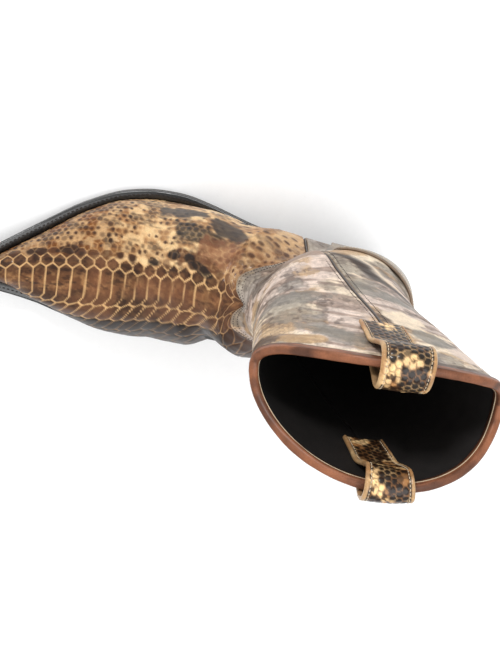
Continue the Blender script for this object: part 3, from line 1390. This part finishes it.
def pull_strap(label, side, sign, seed, dark_band):
    half = STRAP_THICK / 2 - 0.15
    outer = PIPING_RADIUS - PIPING_DEPTH + GAP + half
    inner = -WALL_THICK - 2 * GAP - half
    centre = sign * (0.5 + STRAP_SHIFT[side] * float(u_per_mm(np.array(0.5), np.array(1.0))))
    out_far = GAP + BINDING_THICK + STRAP_STAND[side]
    in_far = -WALL_THICK - GAP - BINDING_THICK - STRAP_INSIDE_STAND
    middle = (out_far + in_far) / 2
    rings = 220
    path, heading, q = rounded_path([
        (outer, -STRAP_OUTSIDE),
        (outer, -STRAP_OUTSIDE * 0.7),
        (outer, -STRAP_RISE * 1.5),
        (mix(outer, out_far, 0.6), -STRAP_RISE * 0.6),
        (out_far, STRAP_RISE * 0.2),
        (mix(out_far, middle, 0.35), STRAP_RISE * 0.8),
        (middle, STRAP_RISE),
        (mix(in_far, middle, 0.35), STRAP_RISE * 0.8),
        (in_far, STRAP_RISE * 0.2),
        (mix(inner, in_far, 0.6), -STRAP_RISE * 0.6),
        (inner, -STRAP_RISE * 1.5),
        (inner, -STRAP_INSIDE * 0.7),
        (inner, -STRAP_INSIDE),
    ], rings)
    q = q[:, None]
    loose = smooth(34, 46, q) * (1 - smooth(q[-1] - 50, q[-1] - 36, q))
    width_step = float(u_per_mm(np.array(centre), np.array(1.0)))

    def ribbon(p, face):
        """Points for places p across the strap, face mm from its middle to its outer face."""
        ripple = 0.7 * np.sin(q / 5.2 + p / 16 + seed) * 0.5
        wave = loose * (1.3 * (noise(q / 13, p / 15, seed) - 0.5) + ripple)
        shift = loose * 1.1 * (noise(q / 17, 0 * q, seed + 5) - 0.5) * 2
        at = wave - face
        offset = path[:, :1] - heading[:, 1:] * at
        height = path[:, 1:] + heading[:, :1] * at
        return lip_point(centre + (p + shift) * width_step, height, offset)

    count = 52
    across = np.linspace(-1, 1, count)
    across = np.sign(across) * (1 - (1 - np.abs(across)) ** 1.35)
    p = across[None] * (STRAP_WIDTH / 2 - 0.1)
    near = STRAP_WIDTH / 2 - np.abs(p)
    bead = 0.42 * np.exp(-(((near - 1.1) / 0.8) ** 2)) - 0.35 * np.exp(-(((near - 2.7) / 0.6) ** 2))
    fall = round_end(near / 1.2)
    front_colour, front_height = strap_leather(q + 0 * p, p + 0 * q, seed, dark_band)
    edge = 1 - smooth(1.7, 2.4, near + 0 * q)
    pale_edge = blend_colours(spread(PALE, front_height), TAN, noise(q / 7, p * 0, seed + 9) + 0 * p)
    front_colour = blend_colours(front_colour, pale_edge, 0.85 * edge)
    back_colour = blend_colours(front_colour, np.broadcast_to(rgb(150, 120, 88), front_colour.shape), 0.6)
    front = ribbon(p, (half + bead * 0.7) * fall + front_height * fall)
    back = ribbon(p, -(half * fall))
    points = np.concatenate([front, back[:, ::-1]], 1)
    tint = np.concatenate([front_colour, back_colour[:, ::-1]], 1)
    sides = points.shape[1]
    name = "pull_strap_ribbon_" + label
    faces = tube_faces(rings, sides)
    faces = [face[::-1] for face in faces if len(face) == 4]
    for i in (0, rings - 1):
        for k in range(count - 1):
            quad = [i * sides + k, i * sides + k + 1, i * sides + sides - 2 - k, i * sides + sides - 1 - k]
            faces.append(quad if i == 0 else quad[::-1])
    piece = piece_from(name, points.reshape(-1, 3), faces, strap_skin, None, ["pull_strap_" + label],
                       tint.reshape(-1, 3))
    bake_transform(piece)
    for row_name, place in (("low", -STRAP_WIDTH / 2 + 2.9), ("high", STRAP_WIDTH / 2 - 2.9)):
        line = np.array([[place]])
        middle_line = ribbon(line, half)[:, 0]
        below = ribbon(line, 0)[:, 0]
        row = stitches("strap_stitches_" + row_name + "_" + label, middle_line, unit(middle_line - below),
                       2.1, 1.6, 0.27, thread_pale, None, 0.1)
        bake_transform(row)


pull_strap("left", "medial", 1, 500, (42, 58))
pull_strap("right", "lateral", -1, 540, (36, 56))

# ---------------------------------------------------------------- sole


EDGE_CORNERS = 6


def edge_profile(rounding):
    """(inset, level) round an outer edge. The first half's level is over the bottom face,
    and the second half's is from the top face down."""
    angle = np.linspace(0, math.pi / 2, EDGE_CORNERS)
    lower = [(rounding * (1 - math.sin(t)), rounding * (1 - math.cos(t))) for t in angle]
    upper = [(rounding * (1 - math.cos(t)), -rounding * (1 - math.sin(t))) for t in angle]
    return lower + upper


def edge_strip(name, start, at_toe, low, high, rounding, material, replaced):
    """A strip round one end of the sole with a rounded outer edge."""
    rings = 260
    r = np.linspace(-1, 1, rings)
    r = np.where(np.abs(r) < 1e-9, 1e-6, r)
    grade = mix(r * r, np.abs(r), 0.45)
    points = []
    profile = edge_profile(rounding)
    middle = len(profile) // 2
    profile = profile + [(WELT_WIDTH, 0.0), (WELT_WIDTH, 0.0)]
    for k, (inset, level) in enumerate(profile):
        end = SOLE_LENGTH - inset if at_toe else inset
        s = mix(end, start, grade)
        halves = np.where(r < 0, half_width("lateral", s, inset), half_width("medial", s, inset))
        halves = halves * smooth(0, 0.012, np.abs(r)) ** 0.5
        upper = middle <= k < len(profile) - 1
        z = (high(s) if upper else low(s)) + level
        points.append(np.stack([centre_line(s) + np.sign(r) * halves, to_y(s), z], -1))
    points = np.stack(points, 1)
    sides = points.shape[1]
    return piece_from(name, points.reshape(-1, 3), tube_faces(rings, sides), material, "boot", [replaced])


def strip_low(s):
    return top_of_sole(s) + SOLE_GAP


edge_strip("welt_strip", HEEL_BLOCK_LENGTH + 3, True, strip_low, top_of_welt, 1.3, black_edge, "welt")
edge_strip("heel_rand_strip", HEEL_BLOCK_LENGTH + 3 - SOLE_GAP, False, strip_low, top_of_welt, 1.2,
           black_edge, "heel_rand")


def welt_stitches():
    r = np.linspace(-1, 1, 1400)
    grade = mix(r * r, np.abs(r), 0.45)
    inset = 3.0
    s = mix(SOLE_LENGTH - inset, HEEL_BLOCK_LENGTH + 30, grade)
    halves = np.where(r < 0, half_width("lateral", s, inset), half_width("medial", s, inset))
    path = np.stack([centre_line(s) + np.sign(r) * halves, to_y(s), top_of_welt(s)], -1)
    up = np.zeros_like(path)
    up[:, 2] = 1
    stitches("welt_stitches", path, up, 3.2, 2.6, 0.42, thread_dark)


welt_stitches()


def slab(name, low, high, place, rounding, material, replaced, rings):
    """A plate between two heights. place(share, inset, level) gives its two edges."""
    share = (1 - np.cos(np.linspace(0, math.pi, rings))) / 2
    profile = edge_profile(rounding)
    middle = len(profile) // 2
    left, right = [], []
    for k, (inset, level) in enumerate(profile):
        height = high if k >= middle else low
        west, east = place(share, inset, height, level)
        left.append(west)
        right.append(east)
    points = np.stack(left + right[::-1], 1)
    sides = points.shape[1]
    return piece_from(name, points.reshape(-1, 3), tube_faces(rings, sides), material, "boot", [replaced])


def sole_place(share, inset, height, level):
    s = mix(0.3 + inset, SOLE_LENGTH - 0.3 - inset, share)
    z = height(s) + level
    west = np.stack([centre_line(s) - half_width("lateral", s, inset), to_y(s), z], -1)
    east = np.stack([centre_line(s) + half_width("medial", s, inset), to_y(s), z], -1)
    return west, east


outsole = slab("outsole_plate", bottom_of_sole, top_of_sole, sole_place, 1.4, black_sole, "outsole", 300)


def heel_place(share, inset, height, level):
    z = height(share * HEEL_BLOCK_LENGTH) + level
    for _ in range(2):
        up = np.clip(z / HEEL_HEIGHT, 0, 1)
        back = HEEL_UNDERCUT * (1 - up)
        length = mix(HEEL_BASE_LENGTH, HEEL_BLOCK_LENGTH, up)
        s = back + inset + share * (length - 2 * inset)
        z = height(s) + level
    ends = []
    for side, sign in (("lateral", -1), ("medial", 1)):
        plan = widths[side](s) * round_end(np.maximum(share * length, 0.02) / HEEL_ROUNDING)
        half = plan - HEEL_TAPER * (1 - up) * round_end(share * length / HEEL_ROUNDING) - inset
        ends.append(np.stack([sign * np.maximum(0.05, half), to_y(s), z], -1))
    return ends


def level_at(z):
    return lambda s: z + 0 * s


HEEL_RINGS = 90
heel_pieces = [slab("top_lift_plate", level_at(0.0), level_at(TOP_LIFT_THICK), heel_place, 0.7, rubber,
                    "top_lift", HEEL_RINGS)]
lift_floor = TOP_LIFT_THICK + GAP
for i in range(1, LIFT_COUNT + 1):
    low, high = level_at(lift_floor), level_at(lift_floor + LIFT_THICK)
    heel_pieces.append(slab("heel_lift_plate_%d" % i, low, high, heel_place, 0.35, black_edge,
                            "heel_lift_%d" % i, HEEL_RINGS))
    lift_floor += LIFT_THICK + GAP
heel_pieces.append(slab("heel_wedge_plate", level_at(lift_floor), lambda s: bottom_of_sole(s) - SOLE_GAP,
                        heel_place, 0.35, black_edge, "heel_wedge", HEEL_RINGS))

# ---------------------------------------------------------------- nail holes


def nail_room():
    """One mesh with a round hole's shape for each heel nail."""
    points, faces = [], []
    sides = 24
    angle = np.arange(sides) * 2 * math.pi / sides
    for k in range(1, 6):
        low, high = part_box("heel_nail_%d" % k)
        centre = (np.array(low) + np.array(high)) * 500
        for z in (low[2] * 1000 - 0.3, 60.0):
            ring = [centre[0] + 1.3 * np.cos(angle), centre[1] + 1.3 * np.sin(angle), z + 0 * angle]
            points.append(np.stack(ring, -1))
        start = (k - 1) * 2 * sides
        faces += [[start + n for n in face] for face in tube_faces(2, sides)]
    mesh = bpy.data.meshes.new("nail_room")
    mesh.from_pydata((np.concatenate(points) / 1000).tolist(), [], faces)
    cutter = bpy.data.objects.new("nail_room", mesh)
    bpy.context.scene.collection.objects.link(cutter)
    return cutter


def drill(pieces, cutter):
    for piece in pieces:
        cut = piece.modifiers.new("nail_holes", "BOOLEAN")
        cut.object = cutter
        cut.operation = "DIFFERENCE"
        cut.solver = "EXACT"
    bpy.context.view_layer.update()
    graph = bpy.context.evaluated_depsgraph_get()
    drilled = [bpy.data.meshes.new_from_object(piece.evaluated_get(graph)) for piece in pieces]
    for piece, mesh in zip(pieces, drilled):
        piece.modifiers.clear()
        piece.data = mesh
    bpy.data.objects.remove(cutter)


drill(heel_pieces[1:] + [outsole], nail_room())

# ---------------------------------------------------------------- floor, light and camera


def flat(name, width, length, place, material):
    x, y = width / 2, length / 2
    corners = [(-x, -y, 0), (x, -y, 0), (x, y, 0), (-x, y, 0)]
    mesh = bpy.data.meshes.new(name)
    mesh.from_pydata(corners, [], [[0, 1, 2, 3]])
    mesh.materials.append(material)
    piece = bpy.data.objects.new(name, mesh)
    piece.location = place
    bpy.context.scene.collection.objects.link(piece)


floor_material = plain("floor_paper", (0.97, 0.97, 0.97), 0.35, 0.0, 0.02, 0.3, 0.01)
flat("floor", 12, 12, (0, 0, -0.0002), floor_material)


def area_light(name, place, target, size, power):
    light = bpy.data.lights.new(name, "AREA")
    light.shape = "RECTANGLE"
    light.size, light.size_y = size
    light.energy = power
    lamp = bpy.data.objects.new(name, light)
    lamp.location = place
    lamp.rotation_euler = (Vector(target) - Vector(place)).to_track_quat("-Z", "Y").to_euler()
    bpy.context.scene.collection.objects.link(lamp)


MIDDLE = (0, -0.05, 0.1)
area_light("key", (-1.1, -0.6, 1.2), (0, -0.1, 0.08), (0.25, 0.35), 13)
area_light("sky", (0.5, 0.5, 2.0), MIDDLE, (1.6, 1.6), 26)

world = bpy.data.worlds.new("studio")
world.use_nodes = True
world.node_tree.nodes["Background"].inputs["Color"].default_value = (1, 1, 1, 1)
world.node_tree.nodes["Background"].inputs["Strength"].default_value = 0.68
bpy.context.scene.world = world
bpy.context.scene.view_settings.view_transform = "Standard"

CAMERA_PLACE = (-0.1498, -0.10073, 0.77994)
CAMERA_BACK = (-0.236, -0.041, 0.971)
CAMERA_RIGHT = (-0.158, 0.987, 0.004)
CAMERA_LENS = 61.2
camera_data = bpy.data.cameras.new("camera")
camera_data.lens = CAMERA_LENS
camera_data.clip_start = 0.01
camera = bpy.data.objects.new("camera", camera_data)
back = Vector(CAMERA_BACK).normalized()
right = Vector(CAMERA_RIGHT)
right = (right - back * right.dot(back)).normalized()
up = back.cross(right)
turn_matrix = Matrix((right, up, back)).transposed()
camera.matrix_world = Matrix.Translation(CAMERA_PLACE) @ turn_matrix.to_4x4()
bpy.context.scene.collection.objects.link(camera)
bpy.context.scene.camera = camera
